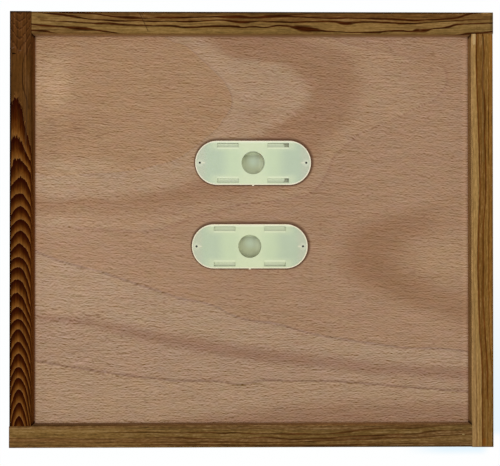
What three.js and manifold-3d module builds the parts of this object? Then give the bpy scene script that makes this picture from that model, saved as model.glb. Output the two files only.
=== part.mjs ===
// Hive inner cover: an oblong frame of grooved cedar rails round a plywood panel, with two
// two-part plastic bee escapes dropped into slots in the panel. Millimetres, +Z up, +X along
// the long side, origin at the middle of the underside.
import * as THREE from "three";
import { mergeVertices } from "three/addons/utils/BufferGeometryUtils.js";
import Module from "manifold-3d";

const wasm = await Module();
wasm.setup();

// Frame and panel
const boardLength = 463;
const boardWidth = 417;
const railWidth = 21;
const railEdgeRadius = 1;
const beeSpace = 8; // from the panel to the rails' top, and again to their underside
const panelThickness = 6;
const grooveDepth = 7;
const grooveSlack = 0.3; // above the panel, which lies on the groove's lower face
const tongueGap = 0.5; // from the panel's edge to the groove's bottom

// Corner nails, two to a corner
const nailLength = 40;
const nailDiameter = 2;
const nailPointLength = 3.5;
const nailHeadDiameter = 4.6;
const nailHeadThickness = 0.9;
const nailHeadRecess = 0.3; // of the head under the rail's outer face
const nailGap = 0.3; // round the shank, the head and the point

// Escape cover: a flat plate with round ends that lies on the panel
const plateLength = 112.5;
const plateWidth = 43;
const plateThickness = 1.6;
const plateEdgeRadius = 0.7;
const plateLap = 1.3; // of the plate over the edge of its slot
const passageDiameter = 22.4;
const pinHoleDiameter = 1.4;
const pinHoleInset = 4.65; // from the plate's end
const nibLength = 2;
const nibWidth = 0.8;

// Guide hooks under the plate, each below the window that its mould core leaves
const windowStart = 14.2; // from the plate's middle
const windowLength = 20.4;
const windowWidth = 4;
const hookThickness = 0.8;
const footThickness = 1.2;
const stopLength = 2;
const stopWidth = 3;
const stopDepth = 2.4;

// Spring housing: an open-ended trough whose flanges slide in the guide hooks
const housingLength = 84;
const housingWall = 1.4;
const housingFloor = 1.2;
const housingCornerRadius = 1.5;
const flangeThickness = 1.2;
const flangeReach = 0.9; // past the windows' outer ends
const flangeCornerRadius = 2.5;
const undersideClearance = 2; // from the housing's floor to the underside of the rails
const slideGap = 0.3; // between the housing and the hooks, plate and stops

// Leaf springs: two V gates of thin bronze strip, hooked round pegs in the housing
const pegDiameter = 2;
const pegDistance = 13; // from the housing's middle, along it
const pegInset = 2.4; // from the housing wall to the peg's axis
const pegWebThickness = 1.1;
const leafThickness = 0.25;
const leafTopGap = 2; // from the plate down to the leaf
const leafFloorGap = 0.3;
const leafTipInset = 2.5; // from the housing's end to the leaf's tip
const gateGap = 3; // between the two tips of a gate
const leafBow = 0.8; // of the leaf towards the middle of the channel

// Where the escapes lie on the board, and how far each housing has been slid from its stops
const backEscapeX = 1.1;
const backEscapeY = 64.6;
const backHousingSlide = 4.9;
const frontEscapeX = -2.1;
const frontEscapeY = -16.5;
const frontHousingSlide = 0;

// Counts of facets, and the overrun of every cut
const arcSteps = 18;
const smallArcSteps = 4;
const passageSides = 60;
const nailSides = 12;
const holeSides = 16;
const leafSteps = 10;
const hookSteps = 8;
const hookSweep = Math.PI * 0.6;
const overrun = 1;

// Sizes that follow from the ones above
const panelBase = beeSpace;
const panelTop = beeSpace + panelThickness;
const railDepth = panelTop + beeSpace;
const grooveTop = panelTop + grooveSlack;
const panelTongue = grooveDepth - tongueGap;
const slotLength = plateLength - 2 * plateLap;
const slotWidth = plateWidth - 2 * plateLap;
const hookOuter = slotWidth / 2 - slideGap;
const windowOuter = hookOuter - hookThickness;
const windowInner = windowOuter - windowWidth;
const windowEnd = windowStart + windowLength;
const flangeOuter = windowOuter - slideGap;
const flangeTop = -slideGap;
const flangeBase = flangeTop - flangeThickness;
const flangeLength = 2 * (windowEnd + flangeReach);
const footTop = flangeBase - slideGap;
const footBase = footTop - footThickness;
const wallOuter = windowInner - slideGap;
const wallInner = wallOuter - housingWall;
const housingBase = undersideClearance - panelTop;
const channelBase = housingBase + housingFloor;
const pegSide = wallInner - pegInset;
const leafBase = channelBase + leafFloorGap;
const leafHeight = -leafTopGap - leafBase;

const cedar = new THREE.MeshStandardMaterial({ color: 0x6e4a22, roughness: 0.75, metalness: 0 });
const plywood = new THREE.MeshStandardMaterial({ color: 0xa07d62, roughness: 0.7, metalness: 0 });
const plastic = new THREE.MeshStandardMaterial({ color: 0xcbd5b4, roughness: 0.4, metalness: 0 });
const bronze = new THREE.MeshStandardMaterial({ color: 0xb98a4a, roughness: 0.35, metalness: 1 });
const steel = new THREE.MeshStandardMaterial({ color: 0x9a9a98, roughness: 0.4, metalness: 1 });

// A closed geometry as a solid that can be cut and joined.
function solidOf(geometry) {
  const bare = geometry.clone();
  bare.deleteAttribute("normal");
  bare.deleteAttribute("uv");
  const merged = mergeVertices(bare);
  const vertProperties = new Float32Array(merged.attributes.position.array);
  const triVerts = new Uint32Array(merged.index.array);
  return new wasm.Manifold(new wasm.Mesh({ numProp: 3, vertProperties, triVerts }));
}

function geometryOf(solid) {
  const { vertProperties, triVerts } = solid.getMesh();
  const geometry = new THREE.BufferGeometry();
  geometry.setAttribute("position", new THREE.BufferAttribute(vertProperties, 3));
  geometry.setIndex(new THREE.BufferAttribute(triVerts, 1));
  geometry.computeVertexNormals();
  return geometry;
}

function join(solids) {
  return solids.reduce((whole, solid) => whole.add(solid));
}

function cut(solid, tools) {
  return solid.subtract(join(tools));
}

// A box between two corners.
function block(low, high) {
  const size = high.map((value, k) => value - low[k]);
  const middle = high.map((value, k) => (value + low[k]) / 2);
  return solidOf(new THREE.BoxGeometry(...size).translate(...middle));
}

// An upright cylinder from one height to another.
function peg(x, y, base, top, diameter, sides) {
  const radius = diameter / 2;
  const cylinder = new THREE.CylinderGeometry(radius, radius, top - base, sides);
  return solidOf(cylinder.rotateX(Math.PI / 2).translate(x, y, (base + top) / 2));
}

// A flat outline in X and Y, raised from one height to another.
function slab(outline, base, top, steps) {
  const settings = { depth: top - base, bevelEnabled: false, curveSegments: steps };
  return new THREE.ExtrudeGeometry(outline, settings).translate(0, 0, base);
}

// A section drawn in Y and Z, carried along +X from zero.
function bar(section, length) {
  const settings = { depth: length, bevelEnabled: false, curveSegments: smallArcSteps };
  const toYZ = new THREE.Matrix4().makeBasis(
    new THREE.Vector3(0, 1, 0), new THREE.Vector3(0, 0, 1), new THREE.Vector3(1, 0, 0));
  return new THREE.ExtrudeGeometry(section, settings).applyMatrix4(toYZ);
}

// An oblong with half-round ends, centred.
function roundEnded(length, width) {
  const radius = width / 2;
  const straight = length / 2 - radius;
  const outline = new THREE.Shape();
  outline.absarc(straight, 0, radius, -Math.PI / 2, Math.PI / 2, false);
  outline.absarc(-straight, 0, radius, Math.PI / 2, 3 * Math.PI / 2, false);
  outline.closePath();
  return outline;
}

// An oblong with rounded corners, centred.
function roundCornered(length, width, radius) {
  const x = length / 2 - radius;
  const y = width / 2 - radius;
  const outline = new THREE.Shape();
  outline.absarc(x, y, radius, 0, Math.PI / 2, false);
  outline.absarc(-x, y, radius, Math.PI / 2, Math.PI, false);
  outline.absarc(-x, -y, radius, Math.PI, 3 * Math.PI / 2, false);
  outline.absarc(x, -y, radius, 3 * Math.PI / 2, 2 * Math.PI, false);
  outline.closePath();
  return outline;
}

// A thin strip of even thickness along a line of points in X and Y.
function strip(points, thickness) {
  const left = [];
  const right = [];
  points.forEach((point, k) => {
    const before = points[Math.max(k - 1, 0)];
    const after = points[Math.min(k + 1, points.length - 1)];
    const along = after.clone().sub(before).normalize();
    const across = new THREE.Vector2(-along.y, along.x).multiplyScalar(thickness / 2);
    left.push(point.clone().add(across));
    right.push(point.clone().sub(across));
  });
  return new THREE.Shape([...right, ...left.reverse()]);
}

function named(name, geometry, material) {
  const mesh = new THREE.Mesh(geometry, material);
  mesh.name = name;
  return mesh;
}

// Rail, drawn with its outer face on Y = 0 and its through end on X = 0. The groove for the
// panel runs its full length.
function railSection() {
  const r = railEdgeRadius;
  const section = new THREE.Shape();
  section.absarc(r, r, r, Math.PI, 3 * Math.PI / 2, false);
  section.absarc(railWidth - r, r, r, 3 * Math.PI / 2, 2 * Math.PI, false);
  section.lineTo(railWidth, panelBase);
  section.lineTo(railWidth - grooveDepth, panelBase);
  section.lineTo(railWidth - grooveDepth, grooveTop);
  section.lineTo(railWidth, grooveTop);
  section.absarc(railWidth - r, railDepth - r, r, 0, Math.PI / 2, false);
  section.absarc(r, railDepth - r, r, Math.PI / 2, Math.PI, false);
  section.closePath();
  return section;
}

// The nails pass under and over the groove.
const nailHeights = { low: panelBase / 2, high: (grooveTop + railDepth) / 2 };

// A nail's hole through the rail, with a seat for its head in the outer face.
function nailPassage(height) {
  const shank = new THREE.CylinderGeometry(
    nailDiameter / 2 + nailGap, nailDiameter / 2 + nailGap, railWidth + 2 * overrun, holeSides);
  const seatDepth = nailHeadRecess + nailHeadThickness;
  const seat = new THREE.CylinderGeometry(
    nailHeadDiameter / 2 + nailGap, nailHeadDiameter / 2 + nailGap, seatDepth + overrun, holeSides);
  shank.translate(railWidth / 2, railWidth / 2, height);
  seat.translate(railWidth / 2, (seatDepth - overrun) / 2, height);
  return [solidOf(shank), solidOf(seat)];
}

// The hole for the neighbour's nail in the end grain of the butt end.
function nailSocket(length, height) {
  const depth = nailHeadRecess + nailLength - railWidth + nailGap;
  const socket = new THREE.CylinderGeometry(
    nailDiameter / 2 + nailGap, nailDiameter / 2 + nailGap, depth + overrun, holeSides);
  socket.rotateZ(Math.PI / 2);
  return solidOf(socket.translate(length - (depth - overrun) / 2, railWidth / 2, height));
}

function rail(length) {
  const holes = Object.values(nailHeights).flatMap(
    (height) => [...nailPassage(height), nailSocket(length, height)]);
  return geometryOf(cut(solidOf(bar(railSection(), length)), holes));
}

function nail(height) {
  const headTop = nailHeadRecess;
  const headBase = headTop + nailHeadThickness;
  const tip = headTop + nailLength;
  const profile = [
    [0, tip],
    [nailDiameter / 2, tip - nailPointLength],
    [nailDiameter / 2, headBase],
    [nailHeadDiameter / 2, headBase],
    [nailHeadDiameter / 2, headTop],
    [0, headTop],
  ].map(([radius, y]) => new THREE.Vector2(radius, y)).reverse();
  return new THREE.LatheGeometry(profile, nailSides).translate(railWidth / 2, 0, height);
}

// Each rail runs through at one end and butts on its neighbour at the other, so the four
// corners turn like a pinwheel. Each is drawn at its through corner and turned into place.
function frame() {
  const x = boardLength / 2;
  const y = boardWidth / 2;
  const sides = [
    { side: "front", corner: "front_left", at: [-x, -y], quarter: 0, length: boardLength },
    { side: "right", corner: "front_right", at: [x, -y], quarter: 1, length: boardWidth },
    { side: "back", corner: "back_right", at: [x, y], quarter: 2, length: boardLength },
    { side: "left", corner: "back_left", at: [-x, y], quarter: 3, length: boardWidth },
  ];
  const whole = new THREE.Group();
  for (const { side, corner, at, quarter, length } of sides) {
    const assembly = new THREE.Group();
    assembly.add(named(`${side}_rail`, rail(length - railWidth), cedar));
    for (const [level, height] of Object.entries(nailHeights)) {
      assembly.add(named(`nail_${corner}_${level}`, nail(height), steel));
    }
    assembly.position.set(...at, 0);
    assembly.rotation.z = quarter * Math.PI / 2;
    whole.add(assembly);
  }
  return whole;
}

function panel() {
  const length = boardLength - 2 * railWidth + 2 * panelTongue;
  const width = boardWidth - 2 * railWidth + 2 * panelTongue;
  const slots = escapes.map(({ x, y }) => {
    const slot = slab(roundEnded(slotLength, slotWidth), panelBase - overrun,
      panelTop + overrun, arcSteps);
    return solidOf(slot.translate(x, y, 0));
  });
  const sheet = block([-length / 2, -width / 2, panelBase], [length / 2, width / 2, panelTop]);
  return named("plywood_panel", geometryOf(cut(sheet, slots)), plywood);
}

// A quarter of what an escape repeats in its four corners, given the signs of X and Y.
const quarters = [[-1, -1], [-1, 1], [1, -1], [1, 1]];

// A block given by its distances from the middle, in the quarter of the signs.
function cornerBlock([sx, sy], low, high) {
  const xs = [sx * low[0], sx * high[0]].sort((a, b) => a - b);
  const ys = [sy * low[1], sy * high[1]].sort((a, b) => a - b);
  return block([xs[0], ys[0], low[2]], [xs[1], ys[1], high[2]]);
}

// The cover's plate is rounded over at its upper edge and flat underneath.
function plateBlank() {
  const settings = {
    depth: 2 * (plateThickness - plateEdgeRadius),
    bevelThickness: plateEdgeRadius,
    bevelSize: plateEdgeRadius,
    bevelOffset: -plateEdgeRadius,
    bevelSegments: smallArcSteps,
    curveSegments: arcSteps,
  };
  const outline = roundEnded(plateLength, plateWidth);
  const rounded = new THREE.ExtrudeGeometry(outline, settings);
  rounded.translate(0, 0, plateEdgeRadius - plateThickness);
  const half = [plateLength / 2 + overrun, plateWidth / 2 + overrun];
  const below = block([-half[0], -half[1], -plateThickness - overrun], [...half, 0]);
  return cut(solidOf(rounded), [below]);
}

// L-shaped hook under a window: a leg from the plate and a foot that turns in.
function guideHook(signs) {
  const leg = cornerBlock(signs, [windowStart, windowOuter, footBase],
    [windowEnd, hookOuter, plateThickness / 2]);
  const foot = cornerBlock(signs, [windowStart, windowInner, footBase],
    [windowEnd, hookOuter, footTop]);
  return join([leg, foot]);
}

// Small stops under the plate that the housing's walls meet when it is home.
function homeStop(signs) {
  const start = housingLength / 2 + slideGap;
  const side = (wallInner + wallOuter) / 2;
  return cornerBlock(signs, [start, side - stopWidth / 2, -stopDepth],
    [start + stopLength, side + stopWidth / 2, plateThickness / 2]);
}

function coverPlate() {
  const pinPlace = plateLength / 2 - pinHoleInset;
  const above = plateThickness + overrun;
  const nib = block([-nibLength / 2, -plateWidth / 2 - nibWidth, 0],
    [nibLength / 2, -plateWidth / 2 + plateEdgeRadius, plateThickness - plateEdgeRadius]);
  const solid = join([
    plateBlank(), nib, ...quarters.map(guideHook), ...quarters.slice(2).map(homeStop)]);
  return geometryOf(cut(solid, [
    peg(0, 0, -overrun, above, passageDiameter, passageSides),
    peg(-pinPlace, 0, -overrun, above, pinHoleDiameter, holeSides),
    peg(pinPlace, 0, -overrun, above, pinHoleDiameter, holeSides),
    ...quarters.map((signs) => cornerBlock(signs, [windowStart, windowInner, footTop],
      [windowEnd, windowOuter, above])),
  ]));
}

function troughSection() {
  const r = housingCornerRadius;
  const section = new THREE.Shape();
  section.moveTo(-wallOuter, flangeTop);
  section.absarc(-wallOuter + r, housingBase + r, r, Math.PI, 3 * Math.PI / 2, false);
  section.absarc(wallOuter - r, housingBase + r, r, 3 * Math.PI / 2, 2 * Math.PI, false);
  section.lineTo(wallOuter, flangeTop);
  section.lineTo(wallInner, flangeTop);
  section.lineTo(wallInner, channelBase);
  section.lineTo(-wallInner, channelBase);
  section.lineTo(-wallInner, flangeTop);
  section.closePath();
  return section;
}

// A peg for a leaf's root, standing on the channel floor and webbed to the wall.
function springPeg(signs) {
  const sunk = channelBase - housingFloor / 2;
  const web = cornerBlock(signs, [pegDistance - pegWebThickness / 2, pegSide, sunk],
    [pegDistance + pegWebThickness / 2, wallInner + housingWall / 2, flangeTop]);
  const post = peg(signs[0] * pegDistance, signs[1] * pegSide, sunk, flangeTop,
    pegDiameter, holeSides);
  return join([web, post]);
}

function springHousing() {
  const trough = bar(troughSection(), housingLength).translate(-housingLength / 2, 0, 0);
  const outline = roundCornered(flangeLength, 2 * flangeOuter, flangeCornerRadius);
  const flange = solidOf(slab(outline, flangeBase, flangeTop, smallArcSteps));
  const reach = housingLength / 2 + overrun;
  const channel = block([-reach, -wallInner, channelBase], [reach, wallInner, overrun]);
  const open = cut(join([solidOf(trough), flange]), [channel]);
  return geometryOf(join([open, ...quarters.map(springPeg)]));
}

// Leaf spring, drawn about its peg's axis and pointing along +X: a hook part of the way round
// the peg, then a bowed blade to the tip, which lies back towards the middle of the channel.
// It is centred on Z = 0, so that it can be turned over for the other quarters.
function leafSpring() {
  const along = housingLength / 2 - leafTipInset - pegDistance;
  const across = pegSide - gateGap / 2;
  const radius = pegDiameter / 2 + slideGap + leafThickness / 2;
  const lean = Math.atan2(across, along);
  const points = [];
  for (let k = 0; k < hookSteps; k += 1) {
    const angle = -Math.PI / 2 - lean - hookSweep * (1 - k / hookSteps);
    points.push(new THREE.Vector2(Math.cos(angle), Math.sin(angle)).multiplyScalar(radius));
  }
  const root = new THREE.Vector2(-Math.sin(lean), -Math.cos(lean)).multiplyScalar(radius);
  const tip = new THREE.Vector2(along, -across);
  const inward = new THREE.Vector2(-Math.sin(lean), -Math.cos(lean));
  for (let k = 0; k <= leafSteps; k += 1) {
    const share = k / leafSteps;
    const bow = leafBow * Math.sin(Math.PI * share) ** 2;
    points.push(root.clone().lerp(tip, share).addScaledVector(inward, bow));
  }
  return slab(strip(points, leafThickness), -leafHeight / 2, leafHeight / 2, smallArcSteps);
}

// A leaf in its own quarter of the housing, turned over or end for end as the quarter needs.
function placedLeaf([sx, sy]) {
  const leaf = leafSpring();
  if (sy < 0) leaf.rotateX(Math.PI);
  if (sx < 0) leaf.rotateY(Math.PI);
  return leaf.translate(sx * pegDistance, sy * pegSide, leafBase + leafHeight / 2);
}

function escape({ name, x, y, slide }) {
  const ends = { [-1]: "left", 1: "right" };
  const flanks = { [-1]: "near", 1: "far" };
  const housing = new THREE.Group();
  housing.add(named(`${name}_spring_housing`, springHousing(), plastic));
  for (const signs of quarters) {
    const leafName = `${name}_spring_${ends[signs[0]]}_${flanks[signs[1]]}`;
    housing.add(named(leafName, placedLeaf(signs), bronze));
  }
  housing.position.x = -slide;
  const whole = new THREE.Group();
  whole.add(named(`${name}_cover_plate`, coverPlate(), plastic), housing);
  whole.position.set(x, y, panelTop);
  return whole;
}

const escapes = [
  { name: "back", x: backEscapeX, y: backEscapeY, slide: backHousingSlide },
  { name: "front", x: frontEscapeX, y: frontEscapeY, slide: frontHousingSlide },
];

const innerCover = new THREE.Group();
innerCover.add(frame(), panel(), ...escapes.map(escape));

export default innerCover;
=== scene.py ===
import functools
import math

import bpy
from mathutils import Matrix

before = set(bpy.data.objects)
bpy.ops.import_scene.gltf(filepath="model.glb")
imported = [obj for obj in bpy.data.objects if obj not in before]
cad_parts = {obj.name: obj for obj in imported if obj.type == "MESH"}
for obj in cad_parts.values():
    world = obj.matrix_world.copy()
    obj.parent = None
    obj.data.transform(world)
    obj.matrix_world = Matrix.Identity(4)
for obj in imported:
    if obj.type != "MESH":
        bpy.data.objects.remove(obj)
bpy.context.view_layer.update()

print("frame loaded,", len(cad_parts), "pieces")


class Wire:
    # a shader socket that takes part in sums: each operator adds its Math node
    def __init__(self, socket):
        self.socket = socket

    # any other node: its settings come first, then its sockets' values or links
    def node(self, kind, settings=None, sockets=None, output=0):
        tree = self.socket.id_data
        made = tree.nodes.new(kind)
        for name, value in (settings or {}).items():
            if name == "stops":
                fillRamp(made.color_ramp, value)
            elif name == "points":
                fillCurve(made.mapping, value)
            else:
                setattr(made, name, value)
        for key, value in (sockets or {}).items():
            if isinstance(value, Wire):
                tree.links.new(value.socket, made.inputs[key])
            else:
                made.inputs[key].default_value = value
        return Wire(made.outputs[output]) if made.outputs else None

    def __add__(self, other):
        return self.node("ShaderNodeMath", {"operation": "ADD"}, {0: self, 1: other})

    def __radd__(self, other):
        return self.node("ShaderNodeMath", {"operation": "ADD"}, {0: other, 1: self})

    def __sub__(self, other):
        return self.node("ShaderNodeMath", {"operation": "SUBTRACT"}, {0: self, 1: other})

    def __rsub__(self, other):
        return self.node("ShaderNodeMath", {"operation": "SUBTRACT"}, {0: other, 1: self})

    def __mul__(self, other):
        return self.node("ShaderNodeMath", {"operation": "MULTIPLY"}, {0: self, 1: other})

    def __rmul__(self, other):
        return self.node("ShaderNodeMath", {"operation": "MULTIPLY"}, {0: other, 1: self})

    def __truediv__(self, other):
        return self.node("ShaderNodeMath", {"operation": "DIVIDE"}, {0: self, 1: other})


def fillRamp(ramp, stops):
    # stops are (position, colour) with colours as 0 to 255 screen values
    while len(ramp.elements) > 1:
        ramp.elements.remove(ramp.elements[-1])
    for number, (position, tone) in enumerate(stops):
        stop = ramp.elements[0] if number == 0 else ramp.elements.new(position)
        stop.position = position
        stop.color = screen(tone)


def fillCurve(mapping, points):
    mapping.use_clip = False
    curve = mapping.curves[0]
    for number, (x, y) in enumerate(points):
        if number < 2:
            curve.points[number].location = (x, y)
        else:
            curve.points.new(x, y)
    mapping.update()


def screen(tone):
    # a 0 to 255 screen colour as the linear colour that a shader takes
    linear = [(v / 255 / 12.92) if v <= 10 else ((v / 255 + 0.055) / 1.055) ** 2.4 for v in tone]
    return (*linear, 1.0)


def maths(operation, first, *others):
    return first.node("ShaderNodeMath", {"operation": operation}, dict(enumerate((first, *others))))


def ease(value, start, end, low=0.0, high=1.0):
    # low at start, high at end, smooth between; start may lie above end
    if start > end:
        start, end, low, high = end, start, high, low
    return value.node("ShaderNodeMapRange", {"interpolation_type": "SMOOTHSTEP"},
                      {"Value": value, "From Min": start, "From Max": end,
                       "To Min": low, "To Max": high})


def bigger(a, b):
    return maths("MAXIMUM", a, b)


def absolute(value):
    return maths("ABSOLUTE", value)


def hypotenuse(a, b):
    return maths("SQRT", a * a + b * b)


def fraction(value):
    return maths("FRACT", value)


def mixed(mask, first, second):
    # first where the mask is 0, second where it is 1; a tuple of three is a screen colour
    first, second = [screen(c) if isinstance(c, tuple) and len(c) == 3 else c for c in (first, second)]
    return mask.node("ShaderNodeMix", {"data_type": "RGBA"}, {0: mask, 6: first, 7: second}, 2)


def brighter(colour, gain):
    # scales a colour by a number that changes over the surface
    return colour.node("ShaderNodeVectorMath", {"operation": "SCALE"}, {0: colour, 3: gain})


def multiplied(colour, gains):
    # scales red, green and blue each by its own gain
    return colour.node("ShaderNodeVectorMath", {"operation": "MULTIPLY"}, {0: colour, 1: gains})


def ramp(value, stops):
    return value.node("ShaderNodeValToRGB", {"stops": stops}, {0: value})


def join(x, y, z):
    return x.node("ShaderNodeCombineXYZ", None, {0: x, 1: y, 2: z})


def grain(place, reach, shift, detail, roughness):
    # noise round 0, mostly within 1 either way, drawn out to reach millimetres on each axis
    stretched = place.node("ShaderNodeMapping", {"vector_type": "POINT"},
                           {"Vector": place, "Location": shift,
                            "Scale": tuple(1 / r for r in reach)})
    noise = stretched.node("ShaderNodeTexNoise", {"noise_dimensions": "3D"},
                           {"Vector": stretched, "Scale": 1.0, "Detail": detail,
                            "Roughness": roughness})
    return (noise - 0.5) * 4


def noises(place, table, shift=(0.0, 0.0, 0.0)):
    # a noise for each row of a table: its reach, detail, roughness and, where it has one, its own shift
    return {name: grain(place, reach, own[0] if own else shift, detail, roughness)
            for name, (reach, detail, roughness, *own) in table.items()}


def dashes(place, reach, shift):
    # noise less its own copy a little further across: thin dashes along X without broad blobs
    x, y, z = shift
    first, second = [grain(place, reach, (x, y + across, z), 0.0, 0.5) for across in (0, 1.1)]
    return (first - second) * 0.7


def startMaterial(name):
    # an empty material, and its place in millimetres
    material = bpy.data.materials.new(name)
    material.use_nodes = True
    material.node_tree.nodes.clear()
    metres = Wire(material.node_tree.nodes.new("ShaderNodeTexCoord").outputs["Object"])
    place = metres.node("ShaderNodeVectorMath", {"operation": "SCALE"}, {0: metres, 3: 1000.0})
    return material, place


def split(place):
    x = place.node("ShaderNodeSeparateXYZ", None, {0: place})
    parts = x.socket.node.outputs
    return x, Wire(parts[1]), Wire(parts[2])


def bumped(height, depth, strength):
    return height.node("ShaderNodeBump", None,
                       {"Strength": strength, "Distance": depth, "Height": height})


def finishMaterial(material, colour, roughness, normal, fixed):
    # fixed holds the sockets that are the same all over
    shader = normal.node("ShaderNodeBsdfPrincipled", None,
                         {"Base Color": colour, "Roughness": roughness, "Normal": normal, **fixed})
    shader.node("ShaderNodeOutputMaterial", None, {"Surface": shader})
    return material


cameraLook = {
    "place": (-0.0046, -0.0052, 0.477),     # metres, over the middle of the board
    "turn": (0.205, -0.333, -0.019),         # degrees
    "lens": 34.27,
}
cameraData = bpy.data.cameras.new("camera")
cameraData.lens = cameraLook["lens"]
camera = bpy.data.objects.new("camera", cameraData)
camera.location = cameraLook["place"]
camera.rotation_euler = [math.radians(v) for v in cameraLook["turn"]]
bpy.context.scene.collection.objects.link(camera)
bpy.context.scene.camera = camera
print("camera set")


# the part's sizes, in millimetres
boardHalfX, boardHalfY, railTop, railWidth = 231.5, 208.5, 22.0, 21.0
innerHalfX, innerHalfY = boardHalfX - railWidth, boardHalfY - railWidth
panelTop, panelMiddle = 14.0, 11.0
wallHeight = railTop - panelTop                      # of the rails above the panel

# what all four rails share
cedarLook = {
    # how low and high the drawn curves may go
    "acrossRange": (-8.0, 32.0), "thickRange": (0.0, 4.0), "gainRange": (0.0, 2.0),
    "edgeRange": (0.0, 1.0), "wallRange": (0.0, 3.0), "archRange": (-2.0, 25.0), "heartRange": (0.0, 20.0),
    "ringLean": 0.42,                                # growth rings lean into the rail
    "deepRings": (22.0, 24.5),                       # evenly spaced rings take over from here
    "edgeReach": 3.0,                                # of the dark outer edge
    # each noise's reach along, across and down the rail, its detail and its roughness
    "noises": {
        "waver": ((30, 9, 9), 2.0, 0.5), "ripple": ((5, 1.4, 1.4), 2.0, 0.5),
        "deep": ((70, 6, 6), 2.0, 0.5), "streaks": ((140, 1.9, 1.9), 3.0, 0.5),
        "fibres": ((16, 1.0, 1.0), 3.0, 0.6), "patches": ((60, 16, 16), 1.0, 0.5),
        "ticks": ((3.8, 1.5, 1.5), 2.0, 0.6), "flakes": ((5, 0.7, 0.7), 1.0, 0.5),
        "thinning": ((9, 3, 3), 2.0, 0.5), "edge": ((8, 4, 4), 2.0, 0.5),
        "pith": ((26, 0.35, 0.35), 2.0, 0.5), "ragged": ((2.4, 0.8, 0.8), 2.0, 0.6),
    },
    "endNoises": {
        "dots": ((40, 0.5, 0.5), 3.0, 0.7, (3, 9, 1)), "saw": ((40, 9, 0.8), 2.0, 0.5, (7, 1, 2)),
    },
    "redReach": (90, 3, 3), "redStrength": 0.45, "paleStrength": 0.4, "edgeStrength": 0.85,
    # the edge and corner colours here are painted shade, on the outer edges and in the inner corners
    "flake": (188, 160, 110), "edge": (36, 20, 4), "cornerShade": (26, 8, 2),
    "roughness": 0.62, "lineGloss": 0.08, "bump": 0.00022, "bumpStrength": 0.8, "specular": 0.012,
}

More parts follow.
